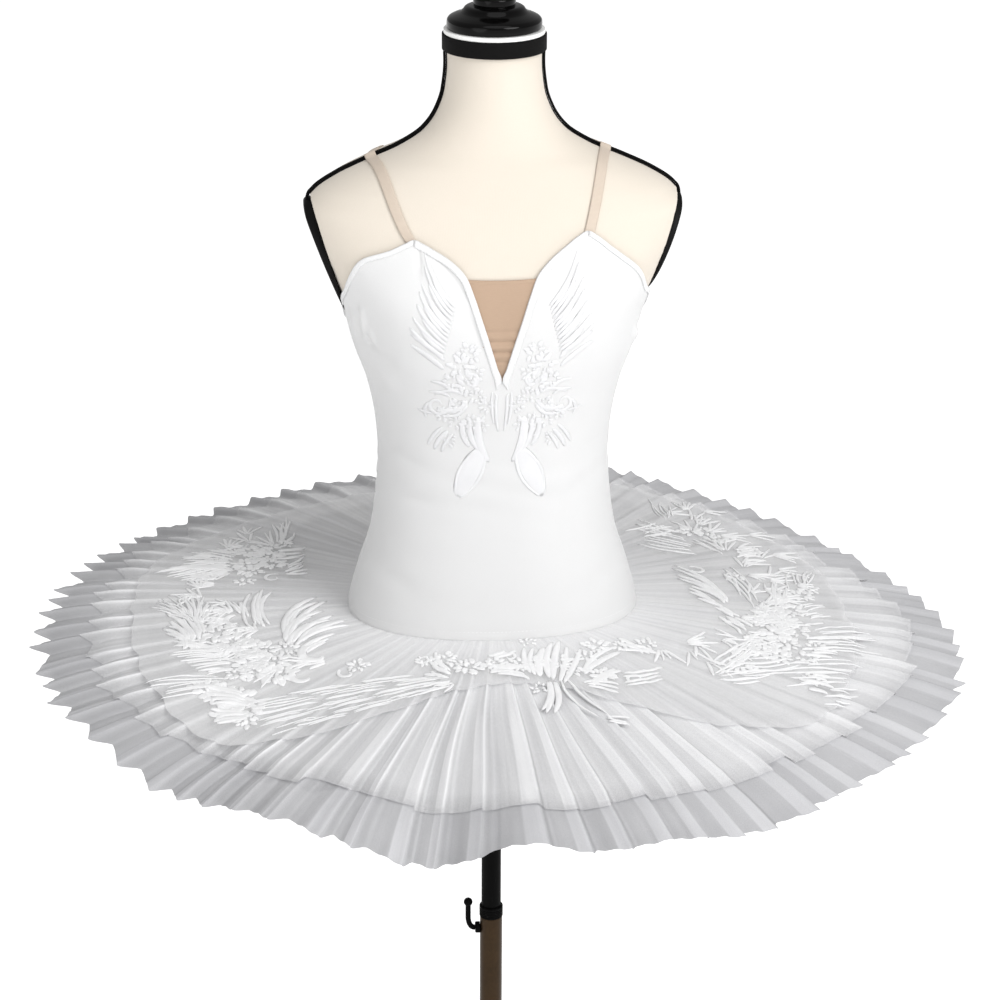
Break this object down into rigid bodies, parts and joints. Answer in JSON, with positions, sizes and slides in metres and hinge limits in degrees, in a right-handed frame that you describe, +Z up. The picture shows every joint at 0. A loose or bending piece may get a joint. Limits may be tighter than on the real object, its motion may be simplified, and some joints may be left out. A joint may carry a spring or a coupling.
{
  "type": "ballet tutu on a dress form stand",
  "caption": "Pancake ballet tutu with pleated net skirt, plunging bodice and feathered appliques, worn by a limbless dress form on a telescopic pole stand.",
  "frame": {"origin": "on the floor, on the axis of the pole, at the middle of the base's flat underside", "axes": "+Z up along the pole; the front of the garment faces -Y; +X is on the right as the front is looked at"},
  "size_m": [0.9651, 0.9744, 1.6099],
  "materials": {
    "jersey": "smooth cream knit jersey stretched over a rigid form",
    "satin": "smooth white stretch satin",
    "tulle": "sheer stiff white net, knife pleated",
    "lace": "dense white embroidery with a thread sheen",
    "nude_mesh": "fine skin-toned stretch mesh",
    "strap_elastic": "matte skin-toned elastic",
    "black_trim": "matte black",
    "black_gloss": "black lacquer",
    "white_gloss": "white lacquer",
    "black_metal": "black powder coat",
    "bronze_metal": "dark bronze lacquer with a soft shine"
  },
  "bodies": {
    "stand": {"stand_base": "black_metal", "stand_tube": "bronze_metal", "stand_collar": "black_metal", "clamp_boss": "black_metal"},
    "clamp": {"clamp_lever": "black_metal"},
    "mast": {"pole": "black_metal"},
    "figure": {"form_body": "jersey", "bodice_front": "satin", "bodice_back": "satin", "neck_binding_left": "satin", "neck_binding_right": "satin", "armhole_binding_left": "satin", "armhole_binding_right": "satin", "back_binding": "satin", "briefs_front": "satin", "briefs_back": "satin", "briefs_gusset": "satin", "tulle_main": "tulle", "tulle_upper": "tulle", "tulle_support": "tulle", "overlay": "tulle", "applique_skirt_left": "lace", "applique_skirt_right": "lace", "applique_skirt_front": "lace", "applique_bodice_left": "lace", "applique_bodice_right": "lace", "modesty_panel": "nude_mesh", "strap_left": "strap_elastic", "strap_right": "strap_elastic", "shoulder_piping_left": "black_trim", "shoulder_piping_right": "black_trim", "arm_plate_left": "black_trim", "arm_plate_right": "black_trim", "neck_band": "black_trim", "neck_cap": "black_gloss", "neck_ring": "white_gloss", "form_socket": "black_metal"}
  },
  "joints": [
    {"name": "clamp_screw", "type": "hinge", "parent": "stand", "child": "clamp", "pos_m": [-0.017, 0, 0.5565], "axis": [-1, 0, 0], "range_deg": [0, 300]},
    {"name": "height_slide", "type": "slide", "parent": "stand", "child": "mast", "axis": [0, 0, 1], "range_m": [-0.15, 0.18]},
    {"name": "form_swivel", "type": "hinge", "parent": "mast", "child": "figure", "pos_m": [0, 0, 0.78], "axis": [0, 0, 1], "continuous": true}
  ]
}
